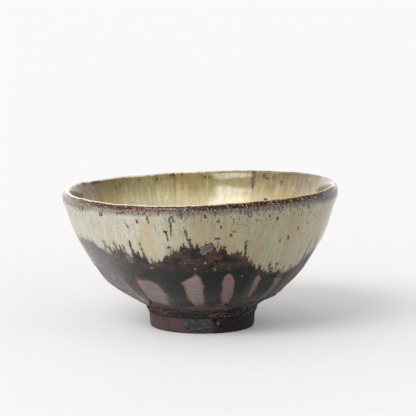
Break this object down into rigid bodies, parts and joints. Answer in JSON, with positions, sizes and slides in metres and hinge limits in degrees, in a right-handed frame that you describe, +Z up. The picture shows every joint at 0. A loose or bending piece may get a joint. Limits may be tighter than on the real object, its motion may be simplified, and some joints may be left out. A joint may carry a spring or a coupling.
{
  "type": "matcha bowl",
  "caption": "Footed stoneware tea bowl with a rounded flaring wall, an uneven lip, pared facets above the foot and layered ash and iron glazes.",
  "frame": {"origin": "on the table, under the middle of the rim", "axes": "+Z up out of the bowl; -Y is the front, the side with the highest wave of the glaze line; +X is the side where the lip stands highest"},
  "size_m": [0.14, 0.1408, 0.0731],
  "materials": {
    "bare_clay": "matt, finely grooved",
    "foot_clay": "matt, rough",
    "ash_glaze": "gloss, streaked",
    "iron_glaze": "satin",
    "lip_iron": "gloss, speckled",
    "splash_glaze": "gloss, mottled"
  },
  "bodies": {
    "root": {"bowl_wall": "bare_clay", "foot_ring": "foot_clay", "foot_joint_collar": "bare_clay", "inner_ash_glaze": "ash_glaze", "outer_ash_glaze": "ash_glaze", "iron_glaze_coat": "iron_glaze", "lip_iron_line": "lip_iron", "foot_iron_splash": "splash_glaze", "foot_ash_splash": "splash_glaze"}
  },
  "joints": []
}
